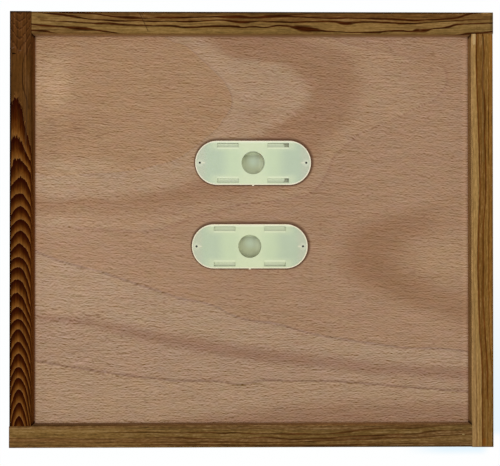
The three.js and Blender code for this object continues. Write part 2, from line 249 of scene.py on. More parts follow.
# grain lines are (along, across, thickness) in millimetres; across runs inward from the outer edge
backRail = {
    "axis": "x", "outer": 1, "sawnEnd": boardHalfX,
    "lines": [
        [(-232, -3.0, 0.0), (-210, -1.6, 0.0), (-189, -0.2, 0.6), (-175, 1.6, 0.8), (-159, 1.9, 0.9),
         (-149, 2.7, 0.6), (-138, 4.5, 0.6), (-128, 5.4, 1.1), (-119, 5.9, 1.5), (-111, 6.2, 1.3),
         (-98, 6.6, 0.4), (-90, 6.2, 0.7), (-78, 6.0, 1.0), (-47, 5.3, 0.5), (-31, 5.2, 0.9),
         (-23, 5.5, 1.4), (-11, 5.1, 1.6), (0, 5.7, 0.9), (17, 4.7, 1.5), (28, 4.4, 1.2), (35, 3.5, 0.8),
         (49, 2.3, 0.4), (65, -0.2, 0.3), (84, -2.1, 0.0), (232, -5.9, 0.0)],
        [(-210, -1.5, 0.0), (17, 4.8, 0.2), (28, 4.8, 0.5), (55, 5.4, 0.7), (78, 6.1, 0.9), (103, 6.2, 0.6),
         (120, 6.7, 0.9), (147, 7.5, 0.9), (157, 8.2, 0.9), (168, 7.6, 0.6), (179, 7.3, 0.7),
         (195, 5.9, 0.9), (201, 4.4, 1.0), (205, 2.9, 1.1), (210, 1.7, 0.8), (219, 0.3, 0.5),
         (232, -0.2, 0.0)],
        [(-232, -0.8, 0.2), (-210, 1.0, 0.2), (-199, 1.9, 0.4), (-186, 2.7, 1.2), (-175, 4.5, 1.2),
         (-166, 5.9, 0.9), (-155, 7.5, 0.5), (-138, 8.7, 0.7), (-128, 9.4, 0.8), (-110, 9.1, 0.6),
         (-96, 9.8, 0.7), (-78, 9.3, 0.5), (-63, 9.7, 1.0), (-41, 9.0, 0.5), (-31, 8.6, 0.5),
         (-19, 9.3, 1.1), (-10, 10.1, 1.3), (7, 9.3, 0.5), (17, 9.7, 0.8), (38, 10.1, 0.9), (59, 9.7, 0.8),
         (78, 9.6, 1.1), (91, 11.3, 1.7), (99, 10.5, 1.1), (109, 9.8, 0.8), (131, 10.5, 0.9),
         (157, 11.0, 0.7), (171, 10.2, 0.4), (195, 8.4, 0.5), (232, 7.0, 0.2)],
        [(-232, 7.4, 0.2), (-210, 8.3, 0.2), (-194, 9.4, 0.2), (-177, 10.2, 0.7), (-156, 11.2, 0.7),
         (-147, 11.7, 1.1), (-138, 11.7, 1.1), (-117, 13.3, 0.9), (-96, 13.6, 0.6), (-78, 13.7, 0.9),
         (-61, 15.4, 0.9), (-33, 14.1, 1.1), (-14, 14.4, 1.2), (-10, 15.1, 0.6), (2, 14.3, 0.7),
         (10, 14.9, 0.6), (28, 13.5, 0.9), (40, 14.9, 1.3), (51, 16.7, 2.9), (57, 17.1, 2.3),
         (65, 18.0, 1.3), (73, 18.9, 0.8), (89, 19.6, 0.5), (120, 19.6, 0.9), (131, 18.4, 0.9),
         (142, 18.1, 1.1), (152, 19.0, 0.7), (158, 17.9, 1.9), (165, 17.9, 1.9), (174, 16.0, 0.6),
         (184, 15.3, 0.8), (190, 14.2, 1.2), (194, 12.8, 1.0), (205, 11.5, 0.8), (232, 10.6, 0.7)],
        [(-232, 11.4, 0.7), (-210, 12.6, 0.7), (-200, 13.6, 1.1), (-180, 15.2, 0.9), (-170, 16.3, 1.8),
         (-163, 16.7, 1.9), (-149, 18.1, 0.7), (-138, 19.4, 0.8), (-132, 20.4, 0.6), (-117, 21.9, 0.0),
         (-78, 23.2, 0.0), (171, 23.2, 0.0), (195, 22.4, 0.3), (210, 20.3, 1.0), (219, 19.9, 0.9),
         (232, 18.2, 1.0)],
        [(-232, 18.2, 0.9), (-210, 18.7, 0.9), (-198, 19.2, 1.1), (-192, 20.3, 0.5), (-175, 22.8, 0.0),
         (-78, 26.7, 0.0), (232, 26.7, 0.0)],
    ],
    "bands": [(0.0, (106, 75, 35)), (1.0, (104, 71, 33)), (2.2, (116, 84, 43)), (3.2, (128, 98, 53)),
              (4.2, (121, 93, 49)), (5.2, (113, 83, 44))],
    "line": (38, 12, 0), "reddish": (78, 34, 6), "pale": (150, 126, 88), "streaks": 0.3, "fibres": 0.42,
    "drift": 0.35, "spacing": 3.6, "flakes": 0.08, "ticks": 0.2, "lineWeight": 1.25,
    "lineStrength": [(-232, 1.0), (232, 1.0)],
    "darkEdge": [(-232, 0.55), (-165, 0.7), (-108, 0.8), (-100, 1.0), (195, 1.0), (222, 0.6)],
    # short marks: (along, across, half length, thickness, turn, strength, tone)
    "marks": [(-200.0, 6.6, 4.0, 0.9, 5, 0.5, (78, 44, 12)), (-195.0, 9.0, 6.5, 0.9, 5, 0.55, (76, 42, 10)),
              (-186.0, 10.9, 6.0, 0.6, 6, 0.4, (82, 50, 16)), (-188.0, 4.9, 7.0, 0.5, 7, 0.3, (84, 54, 20)),
              (-103.5, 10.0, 9.6, 0.45, 65, 0.75, (60, 36, 18)),
              (-103.8, 5.0, 3.4, 0.3, 60, 0.75, (60, 36, 18)), (230.0, 8.5, 7.5, 1.5, 90, 0.5, (54, 40, 8)),
              (213.6, 16.6, 2.6, 0.25, 82, 0.4, (84, 56, 22)),
              (216.0, 15.6, 3.4, 0.3, 86, 0.45, (84, 56, 22)),
              (218.6, 13.8, 3.0, 0.25, 96, 0.35, (84, 56, 22))],
    "shift": 11.0, "lightness": [(-232, 1.04), (-60, 1.06), (0, 1.05), (232, 0.98)],
    "wallLight": [(-232, 1.45), (-120, 1.48), (-75, 1.25), (-10, 1.38), (60, 1.25), (140, 1.38),
                  (232, 1.6)],
    "wallBounce": 0.85, "bounceFrom": 0.5, "bounce": (176, 136, 102), "wallEnds": 0.0, "lipHighlight": 0.0,
}
frontRail = {
    "axis": "x", "outer": -1, "sawnEnd": -boardHalfX,
    "lines": [
        [(-232, 2.3, 0.5), (-184, 2.3, 0.7), (-117, 2.7, 0.5), (-78, 3.1, 1.2), (-12, 2.7, 0.9),
         (36, 2.1, 0.9), (78, 2.2, 1.0), (126, 3.3, 0.8), (184, 3.3, 0.7), (232, 3.3, 0.4)],
        [(-232, 5.7, 0.5), (-184, 5.6, 0.7), (-127, 5.5, 0.9), (-78, 5.4, 0.8), (-31, 5.6, 0.9),
         (27, 4.8, 0.6), (78, 6.9, 0.9), (109, 7.5, 0.9), (126, 8.9, 1.0), (152, 9.1, 0.8),
         (174, 10.2, 0.8), (184, 11.2, 0.6), (232, 12.4, 0.3)],
        [(-232, 9.5, 0.8), (-184, 9.5, 1.0), (-151, 8.8, 0.9), (-127, 8.8, 0.5), (-78, 10.3, 0.6),
         (-60, 9.2, 1.2), (-47, 8.7, 0.6), (-12, 8.8, 0.4), (12, 9.8, 0.8), (38, 8.0, 1.1), (55, 8.3, 0.8),
         (71, 8.7, 1.1), (88, 10.2, 0.7), (109, 10.9, 1.2), (137, 12.1, 1.0), (157, 12.9, 0.6),
         (168, 14.5, 1.3), (178, 15.4, 0.9), (199, 16.2, 0.2), (232, 16.7, 0.0)],
        [(-232, 14.3, 0.0), (-146, 14.2, 0.3), (-133, 14.7, 0.8), (-108, 14.9, 1.0), (-78, 14.3, 0.8),
         (-41, 14.4, 1.0), (-27, 13.7, 1.2), (-19, 14.4, 0.8), (-4, 13.5, 0.8), (17, 13.2, 0.7),
         (36, 13.2, 1.3), (49, 13.2, 1.2), (65, 12.7, 0.8), (78, 13.4, 0.9), (84, 13.9, 1.2),
         (93, 15.0, 1.5), (99, 15.7, 0.7), (113, 16.4, 0.4), (142, 16.7, 0.2), (232, 17.7, 0.0)],
        [(-232, 18.6, 0.3), (-184, 18.4, 0.4), (-117, 19.0, 0.3), (-12, 18.2, 0.5), (46, 17.5, 0.4),
         (94, 16.5, 0.4), (104, 16.5, 0.9), (118, 17.8, 0.9), (131, 18.4, 0.6), (147, 18.2, 1.0),
         (157, 18.4, 0.9), (174, 19.8, 0.6), (190, 20.6, 0.3), (232, 21.5, 0.0)],
    ],
    "bands": [(0.0, (106, 76, 38)), (1.0, (114, 84, 44)), (2.0, (108, 77, 41)), (3.0, (110, 82, 41)),
              (4.0, (114, 86, 45)), (5.0, (106, 76, 41))],
    "line": (52, 26, 2), "reddish": (90, 46, 14), "pale": (150, 128, 94), "streaks": 0.34, "fibres": 0.46,
    "drift": 0.3, "spacing": 2.6, "flakes": 0.45, "ticks": 0.3, "lineWeight": 0.95,
    "lineStrength": [(-232, 0.3), (-150, 0.45), (-80, 0.72), (-20, 0.85), (80, 0.8), (232, 0.6)],
    "darkEdge": [(-232, 0.25), (-60, 0.3), (0, 0.5), (232, 0.6)],
    "marks": [(202.2, 12.2, 0.9, 0.35, 0, 0.6, (196, 176, 120))],
    "shift": 47.0, "lightness": [(-232, 1.18), (-140, 1.13), (-70, 0.98), (60, 0.92), (232, 0.88)],
    "wallLight": [(-232, 0.78), (-160, 0.84), (-120, 1.05), (-80, 1.36), (0, 1.58), (45, 1.95), (100, 2.3),
                  (140, 2.0), (170, 1.73), (232, 1.6)],
    "wallBounce": 0.4, "bounceFrom": 1.0, "bounce": (166, 126, 98), "wallEnds": 0.0, "lipHighlight": 0.0,
}
rightRail = {
    "axis": "y", "outer": 1, "sawnEnd": -boardHalfY,
    "lines": [
        [(-208, 0.0, 0.0), (-164, 1.0, 0.2), (-135, 1.9, 0.4), (-116, 3.5, 0.5), (-71, 4.5, 0.6),
         (-20, 4.6, 0.55), (17, 4.2, 0.5), (57, 3.9, 0.4), (71, 4.4, 0.5), (95, 4.6, 0.6), (134, 4.4, 0.5),
         (163, 4.4, 0.3), (188, 4.2, 0.0)],
        [(-208, 6.3, 0.7), (-157, 5.7, 0.9), (-135, 6.2, 1.1), (-114, 7.3, 1.0), (-93, 8.7, 1.0),
         (-71, 10.0, 1.1), (-36, 9.8, 1.1), (-4, 9.8, 0.9), (17, 8.6, 0.7), (33, 7.4, 0.9), (71, 7.6, 1.0),
         (95, 8.4, 1.0), (117, 8.0, 1.2), (143, 10.1, 1.2), (172, 9.0, 1.0), (188, 10.1, 0.9)],
        [(-208, 11.0, 0.9), (-157, 11.0, 1.0), (-125, 11.6, 1.0), (-93, 13.7, 1.0), (-72, 14.4, 1.0),
         (-15, 14.9, 1.0), (39, 13.1, 0.9), (71, 13.7, 0.9), (95, 14.3, 0.9), (134, 15.4, 0.9),
         (167, 16.2, 1.1), (188, 15.9, 1.0)],
        [(-208, 16.4, 0.5), (-157, 16.4, 0.5), (-125, 16.9, 0.35), (-71, 18.8, 0.2), (-15, 19.4, 0.2),
         (57, 19.3, 0.15), (188, 18.3, 0.0)],
    ],
    "bands": [(0.0, (130, 90, 38)), (1.0, (125, 89, 40)), (2.0, (113, 77, 32)), (3.0, (151, 117, 67)),
              (4.0, (152, 118, 72))],
    "line": (66, 34, 4), "reddish": (112, 56, 12), "pale": (184, 154, 108), "streaks": 0.22, "fibres": 0.34,
    "drift": 0.25, "spacing": 3.2, "flakes": 0.1, "ticks": 0.18, "lineWeight": 1.0,
    "lineStrength": [(-208, 0.8), (188, 0.9)],
    "darkEdge": [(-208, 1.0), (-150, 0.7), (0, 0.55), (188, 0.35)],
    "marks": [(182.5, 18.3, 4.2, 1.6, 0, 0.55, (198, 170, 122)),
              (168.0, 1.6, 17.0, 1.3, 0, 0.4, (152, 98, 36)),
              (125.0, 9.9, 60.0, 0.7, 0, 0.4, (104, 86, 52)),
              (-186.0, 6.9, 22.0, 1.4, 0, 0.4, (140, 108, 56)),
              (-203.4, 8.9, 1.8, 1.6, 0, 0.45, (128, 66, 14))],
    "shift": 83.0, "lightness": [(-208, 0.94), (188, 1.02)],
    "wallLight": [(-208, 0.8), (-180, 0.84), (-90, 0.88), (-10, 0.93), (60, 0.84), (115, 0.9), (208, 1.1)],
    "wallBounce": 0.4, "bounceFrom": 3.0, "bounce": (160, 104, 72), "wallEnds": 0.8, "lipHighlight": 0.25,
}


def railPlace(place, look):
    # along the rail, inward from its outer edge, down from its top, and the rail's half length
    x, y, z = split(place)
    depth = railTop - z
    if look["axis"] == "x":
        return x, boardHalfY - y * look["outer"], depth, boardHalfX
    return y, boardHalfX - x * look["outer"], depth, boardHalfY


def railShift(look):
    # moves each rail to its own part of the noise
    return tuple(look["shift"] * share for share in (1.0, 0.7, 0.3))


def drawn(along, half, points, column, low, high):
    # a drawn curve: one column of its points, between low and high, from -half to half along
    share = (along + half) / (2 * half)
    curve = [((p[0] + half) / (2 * half), (p[column] - low) / (high - low)) for p in points]
    value = share.node("ShaderNodeFloatCurve", {"points": curve}, {"Factor": 1.0, "Value": share})
    return value * (high - low) + low


def capsule(along, across, middle, halfLength, thickness, turn):
    # 1 inside a short drawn mark, fading over its thickness
    c, s = math.cos(math.radians(turn)), math.sin(math.radians(turn))
    dx, dy = along - middle[0], across - middle[1]
    lengthwise = bigger(absolute(dx * c + dy * s) - halfLength, 0.0)
    reach = hypotenuse(lengthwise, dy * c - dx * s)
    return ease(reach, thickness * 1.3, thickness * 0.4)


def sawnRail(name, look, cedar):
    material, place = startMaterial(name)
    along, across, depth, half = railPlace(place, look)
    here = join(along, across, depth)
    shift = railShift(look)
    noise = noises(here, cedar["noises"], shift)
    streaks, fibres = noise["streaks"], noise["fibres"]

    level = across + depth * cedar["ringLean"] + noise["waver"] * look["drift"] + noise["ripple"] * 0.16
    steps, masks = [], []
    for points in look["lines"]:
        gap = level - drawn(along, half, points, 1, *cedar["acrossRange"])
        thick = drawn(along, half, points, 2, *cedar["thickRange"]) * look["lineWeight"]
        nearness = absolute(gap) / bigger(thick * 0.8, 0.12)
        masks.append(ease(nearness, 1.5, 0.45) * ease(thick, 0.05, 0.6))
        steps.append(ease(gap, -0.4, 0.9))
    # deeper than the drawn lines, rings follow at an even spacing
    deep = fraction((level + noise["deep"] * 0.6) / look["spacing"])
    masks.append(ease(absolute(deep - 0.5), 0.32, 0.5) * ease(level, *cedar["deepRings"]) * 0.8)
    lineMask = functools.reduce(bigger, masks)

    # the tone changes from one line to the next
    bands = len(steps)
    colour = ramp(sum(steps) / bands, [(v / bands, tone) for v, tone in look["bands"]])
    change = streaks * look["streaks"] + fibres * look["fibres"]
    change = change + noise["patches"] * 0.05 + noise["ticks"] * look["ticks"]
    colour = brighter(colour, (1 + change) * drawn(along, half, look["lightness"], 1, *cedar["gainRange"]))
    colour = mixed(ease(change, 0.02, 0.55) * cedar["paleStrength"], colour, look["pale"])
    red = ease(grain(here, cedar["redReach"], (shift[0] + 5, 3, 1), 2.0, 0.5), 0.25, 1.5)
    colour = mixed(red * cedar["redStrength"], colour, look["reddish"])
    colour = mixed(ease(noise["flakes"], 1.35, 1.9) * look["flakes"], colour, cedar["flake"])
    thinning = ease(noise["thinning"], -1.6, -0.2)
    strength = drawn(along, half, look["lineStrength"], 1, *cedar["gainRange"])
    lineMask = lineMask * (0.6 + thinning * 0.4) * strength
    lineTone = mixed(ease(fibres, -0.6, 1.0), look["line"], look["reddish"])
    colour = mixed(lineMask, colour, lineTone)
    colour = marked(colour, along, across, noise["ragged"], look["marks"])

    # painted shade: the rounded outer edge is darkened as if in shadow, its side face less so
    edge = ease(across + noise["edge"] * 0.3, cedar["edgeReach"], 0.6)
    edge = edge * drawn(along, half, look["darkEdge"], 1, *cedar["edgeRange"])
    edge = edge * ease(depth, 2.5, 0.5, 0.3, 1.0)
    colour = mixed(edge * cedar["edgeStrength"], colour, cedar["edge"])

    colour = innerWall(colour, along, across, depth, half, look, cedar)
    colour, height = endGrain(colour, here, along, look, cedar)
    height = height + fibres * 0.35 + streaks * 0.35 + noise["pith"] * 0.3 - lineMask * 0.5
    roughness = cedar["roughness"] + fibres * 0.05 - lineMask * cedar["lineGloss"]
    return finishMaterial(material, colour, roughness, bumped(height, cedar["bump"], cedar["bumpStrength"]),
                          {"Specular IOR Level": cedar["specular"]})


def marked(colour, along, across, ragged, marks):
    # short drawn marks with slightly ragged edges
    for x, y, halfLength, thickness, turn, strength, tone in marks:
        mask = capsule(along + ragged * thickness * 0.6, across + ragged * thickness * 0.45,
                       (x, y), halfLength, thickness, turn)
        colour = mixed(mask * strength, colour, tone)
    return colour


def innerWall(colour, along, across, depth, half, look, cedar):
    # painted light on the wall above the panel, as if gathered from it, and painted shade in its corners
    wall = ease(across, railWidth - 0.3, railWidth - 0.05) * ease(depth, 0.1, 0.5)
    light = drawn(along, half, look["wallLight"], 1, *cedar["wallRange"])
    # a painted highlight along the lip of the inner edge
    lip = ease(across, railWidth - 0.9, railWidth - 0.4) * ease(depth, 0.9, 0.2)
    colour = brighter(colour, 1 + wall * (light - 1) + lip * look["lipHighlight"])
    # painted bounce light from the panel, stronger lower down the wall
    bounce = wall * ease(depth, look["bounceFrom"], wallHeight) * look["wallBounce"]
    colour = mixed(bounce, colour, look["bounce"])
    # painted shade in the inner corners, where two walls meet
    corner = ease(absolute(along), innerHalfY - 4.0, innerHalfY - 0.5)
    corner = corner * ease(across, railWidth - 0.5, railWidth - 0.1)
    return mixed(corner * look["wallEnds"], colour, cedar["cornerShade"])


def endGrain(colour, here, along, look, cedar):
    # the sawn end is darker and dotted; the height returned adds to the bump
    sign, end = math.copysign(1, look["sawnEnd"]), abs(look["sawnEnd"])
    mask = ease(along * sign, end - 0.75, end - 0.15)
    noise = noises(here, cedar["endNoises"])
    sawn = brighter(colour, 0.5 + noise["dots"] * 0.1 + noise["saw"] * 0.05)
    return mixed(mask, colour, sawn), mask * (noise["saw"] * 0.8 + noise["dots"] * 0.5)


leftRail = {
    "axis": "y", "outer": -1, "sawnEnd": boardHalfY, "shift": 129.0, "roughness": 0.6,
    "spacing": 1.52, "firstRing": 7.8,
    # where each arch's top stands along the rail, counted from the front, and the ends
    "arches": [(-208.5, -1.0), (-177.8, 1), (-165.3, 2), (-152.4, 3), (-141.8, 4), (-130.8, 5), (-118.8, 6),
               (-107.4, 7), (-95.0, 8), (-85.0, 9), (-73.9, 10), (-60.1, 11), (-47.2, 12), (-35.7, 13),
               (-25.9, 14), (-13.8, 15), (-1.5, 16), (9.7, 17), (22.0, 18), (34.6, 19), (49.4, 20),
               (67.6, 21), (88.7, 22), (128.1, 23), (150, 23.5), (171.0, 23), (182.7, 22), (191.2, 21),
               (198.7, 20), (208.5, 18.6)],
    # how far in the arches' tops stand from the outer edge
    "heart": [(-208, 9.6), (-140, 9.2), (-100, 8.8), (-60, 7.4), (-40, 7.8), (-15, 9.8), (10, 10.4),
              (34, 9.6), (50, 10.6), (68, 7.4), (90, 5.8), (128, 6.2), (160, 8.5), (208, 10.0)],
    "arch": [(0.0, (128, 88, 45)), (0.06, (116, 74, 31)), (0.2, (104, 62, 20)), (0.36, (84, 42, 8)),
             (0.54, (56, 19, 0)), (0.8, (43, 9, 0)), (1.0, (39, 6, 0))],
    "noises": {
        "heart": ((45, 12, 12), 2.0, 0.5), "jag": ((9, 0.8, 0.8), 2.0, 0.6),
        "ripple": ((16, 6, 6), 2.0, 0.5), "fade": ((20, 2, 2), 2.0, 0.5),
        "fibres": ((30, 0.5, 0.5), 2.0, 0.6), "streaks": ((120, 1.6, 1.6), 3.0, 0.5),
        "broad": ((34, 3.2, 3.2), 2.0, 0.5), "bend": ((6, 2, 2), 2.0, 0.5),
        "ticks": ((3.4, 1.5, 1.5), 2.0, 0.6), "edge": ((7, 4, 4), 2.0, 0.5),
        "ragged": ((2.4, 0.8, 0.8), 2.0, 0.6),
    },
    "turnsOver": (132, 165), "jagged": (20, 90),     # from, to along the rail, where the figure changes
    "faded": (118, 76, 26), "edge": (20, 6, 0), "farEnd": (34, 18, 6), "lip": (48, 14, 0),
    # the quiet stretch near the back end: where it starts, its tones, and the long line that bends out
    "quietFrom": (130, 138), "plain": (84, 52, 19), "greyish": (112, 84, 58),
    "chevronFrom": (160, 174), "chevron": (84, 50, 19), "thinLine": (50, 24, 8), "paleLine": (112, 70, 36),
    "bend": [(95, 22.5, 0), (115, 18.2, 1.3), (126, 15.8, 1.2), (140, 12.5, 1.0), (150, 12.0, 0.7),
             (164, 13.8, 0.5), (175, 15, 0.0)],
    "bendFrom": (112, 122), "bendTo": (176, 166), "bendTone": (44, 22, 6),
    "marks": [(168.0, 4.4, 1.2, 0.7, 90, 1.0, (12, 3, 0)), (173.4, 3.4, 1.2, 0.5, 60, 0.35, (130, 104, 84)),
              (170.8, 10.2, 1.0, 0.5, 90, 0.3, (124, 98, 74)),
              (110.0, 16.4, 36.0, 1.0, 2, 0.22, (106, 76, 48)),
              (128.0, 15.2, 24.0, 0.8, 3, 0.2, (106, 76, 48))],
    "wallLight": [(-208, 1.28), (-170, 1.4), (60, 1.4), (86, 1.18), (118, 1.14), (145, 1.38), (208, 1.34)],
    "wallBounce": 0.34, "bounceFrom": 2.5, "bounce": (150, 94, 56), "wallEnds": 0.9, "lipHighlight": 0.0,
}


def archedRail(name, look, cedar):
    material, place = startMaterial(name)
    along, across, depth, half = railPlace(place, look)
    here = join(along, across, depth)
    noise = noises(here, look["noises"], railShift(look))
    streaks, fibres = noise["streaks"], noise["fibres"]

    # a ring's distance from the log's heart: root of sideways squared plus height squared
    count = drawn(along, half, look["arches"], 1, *cedar["archRange"])
    heart = drawn(along, half, look["heart"], 1, *cedar["heartRange"])
    sideways = across - heart + noise["heart"] * 0.5
    deep = (count + look["firstRing"]) * look["spacing"] + depth
    radius = hypotenuse(sideways, deep)
    top = ease(along, *look["turnsOver"])
    upper = ease(along, *look["jagged"])
    ring = (radius / look["spacing"] - look["firstRing"]
            + absolute(sideways) * top * 0.075
            + noise["jag"] * (0.035 + upper * 0.1 + top * 0.05)
            + noise["ripple"] * 0.08)
    phase = fraction(ring)

    figure = ramp(phase, look["arch"])
    fade = ease(phase, 0.9, 0.25) * ease(noise["fade"], -1.0, 1.5)
    figure = mixed(fade * 0.3, figure, look["faded"])
    # the quiet stretch near the back end, with its thin lines and reddish chevrons
    quiet = bigger(ease(ring, 23.0, 23.08), ease(along, *look["quietFrom"]))
    thinLine = ease(absolute(phase - 0.5), 0.36, 0.49)
    chevron = ease(along, *look["chevronFrom"])
    change = streaks * 0.2 + noise["broad"] * 0.26
    plain = brighter(mixed(chevron, look["plain"], look["chevron"]), 1 + change)
    plain = mixed(ease(change, 0.0, 0.5) * 0.4, plain, look["greyish"])
    plain = mixed(thinLine * (0.2 + chevron * 0.55), plain, look["thinLine"])
    paleLine = ease(absolute(phase - 0.2), 0.14, 0.02) * chevron
    plain = mixed(paleLine * 0.5, plain, look["paleLine"])
    colour = mixed(quiet, figure, plain)
    # a long dark line bends out of the quiet stretch to the inner edge
    line = across + noise["bend"] * 0.3 - drawn(along, half, look["bend"], 1, *cedar["acrossRange"])
    thick = drawn(along, half, look["bend"], 2, *cedar["thickRange"])
    line = ease(absolute(line) / bigger(thick * 0.6, 0.1), 1.5, 0.3)
    line = line * ease(thick, 0.05, 0.6) * ease(along, *look["bendFrom"]) * ease(along, *look["bendTo"])
    colour = mixed(line * 0.75, colour, look["bendTone"])
    colour = brighter(colour, 1 + fibres * 0.3 + streaks * 0.24 + noise["ticks"] * 0.2)
    colour = marked(colour, along, across, noise["ragged"], look["marks"])

    # the outer edge carries painted shade; the back end and the lip of the inner edge are darker
    edge = ease(across + noise["edge"] * 0.4, cedar["edgeReach"], 0.7)
    edge = edge * ease(along, 150, 110, 0.7, 1.0) * ease(depth, 2.5, 0.5, 0.15, 1.0)
    colour = mixed(edge, colour, look["edge"])
    colour = mixed(ease(along, boardHalfY - 2.7, boardHalfY - 0.9) * 0.7, colour, look["farEnd"])
    lip = ease(absolute(across - railWidth + 0.2), 1.0, 0.2) * ease(depth, 1.2, 0.4)
    lip = lip * ease(along, innerHalfY + 0.5, innerHalfY - 4.5)
    colour = mixed(lip * 0.4, colour, look["lip"])
    colour = innerWall(colour, along, across, depth, half, look, cedar)
    colour, height = endGrain(colour, here, along, look, cedar)
    height = height + fibres * 0.4 + streaks * 0.3 + ease(phase, 0.0, 0.8) * 0.6
    roughness = look["roughness"] + fibres * 0.05
    return finishMaterial(material, colour, roughness, bumped(height, cedar["bump"], cedar["bumpStrength"]),
                          {"Specular IOR Level": cedar["specular"]})


railMaterials = {
    "back_rail": sawnRail("cedarBack", backRail, cedarLook),
    "front_rail": sawnRail("cedarFront", frontRail, cedarLook),
    "right_rail": sawnRail("cedarRight", rightRail, cedarLook),
    "left_rail": archedRail("cedarLeft", leftRail, cedarLook),
}
print("rails finished")


# the bee escapes; lengths in millimetres from an escape's middle, heights from the board's underside
escapeLook = {
    "middles": {"back": (1.1, 64.6), "front": (-2.1, -16.5)},
    "tints": {"back": (1.0, 1.0, 1.0), "front": (0.985, 0.975, 0.935)},
    "halfLength": 56.25, "halfWidth": 21.5, "plateTop": 15.6, "roundHole": 11.2,
    "pinHoles": 51.6, "pinHoleRadius": 0.7, "flowMarks": 48.3,
    "windows": (14.2, 34.6, 15.1, 19.1),             # along from, to and across from, to
    "hookTop": 12.2, "housingBase": 2.0, "gleamPlace": (0.2, 3.0),
    # each noise's reach in x, y and z, its detail, its roughness and its shift
    "noises": {
        "fine": ((1.6, 1.6, 1.6), 3.0, 0.6), "mottled": ((0.5, 0.5, 0.5), 2.0, 0.5),
        "film": ((9, 6, 6), 4.0, 0.65, (1, 2, 7)),
    },
    "cloudReach": (22, 14, 14),
    # cover plate: where its tones change, outwards from the middle, and the tones
    "middleTo": (6, 17), "waistTo": (20, 35), "shoulderTo": (43, 50), "sidesFrom": (9, 16),
    "middle": (190, 205, 168), "waist": (200, 211, 174), "shoulder": (176, 191, 163),
    "end": (182, 188, 163), "sides": (203, 212, 174), "backEdgeLight": (228, 234, 206),
    "rimHighlight": (240, 229, 202), "flow": (226, 220, 190), "outline": (136, 144, 110),
    "litEdge": (226, 232, 198), "hookShade": (132, 134, 106), "pinRing": (228, 229, 203),
    "openingWallLight": (248, 250, 232), "pinHoleShade": (8, 10, 6),
    # housing
    "housing": (196, 204, 174), "housingPatch": (188, 198, 166), "wellShade": (172, 180, 140),
    "gleam": (184, 200, 170), "wellCorner": (184, 196, 170),
    "film": (176, 160, 120), "roughness": 0.44, "bump": 0.00003, "bumpStrength": 0.6,
    "fixed": {"Subsurface Weight": 0.12, "Subsurface Scale": 0.004,
              "Subsurface Radius": (1.0, 1.0, 0.7), "Specular IOR Level": 0.4},
}


def roundEndDistance(x, y, look):
    # signed distance to an escape's round-ended outline, negative inside
    past = bigger(absolute(x) - (look["halfLength"] - look["halfWidth"]), 0.0)
    return hypotenuse(past, y) - look["halfWidth"]


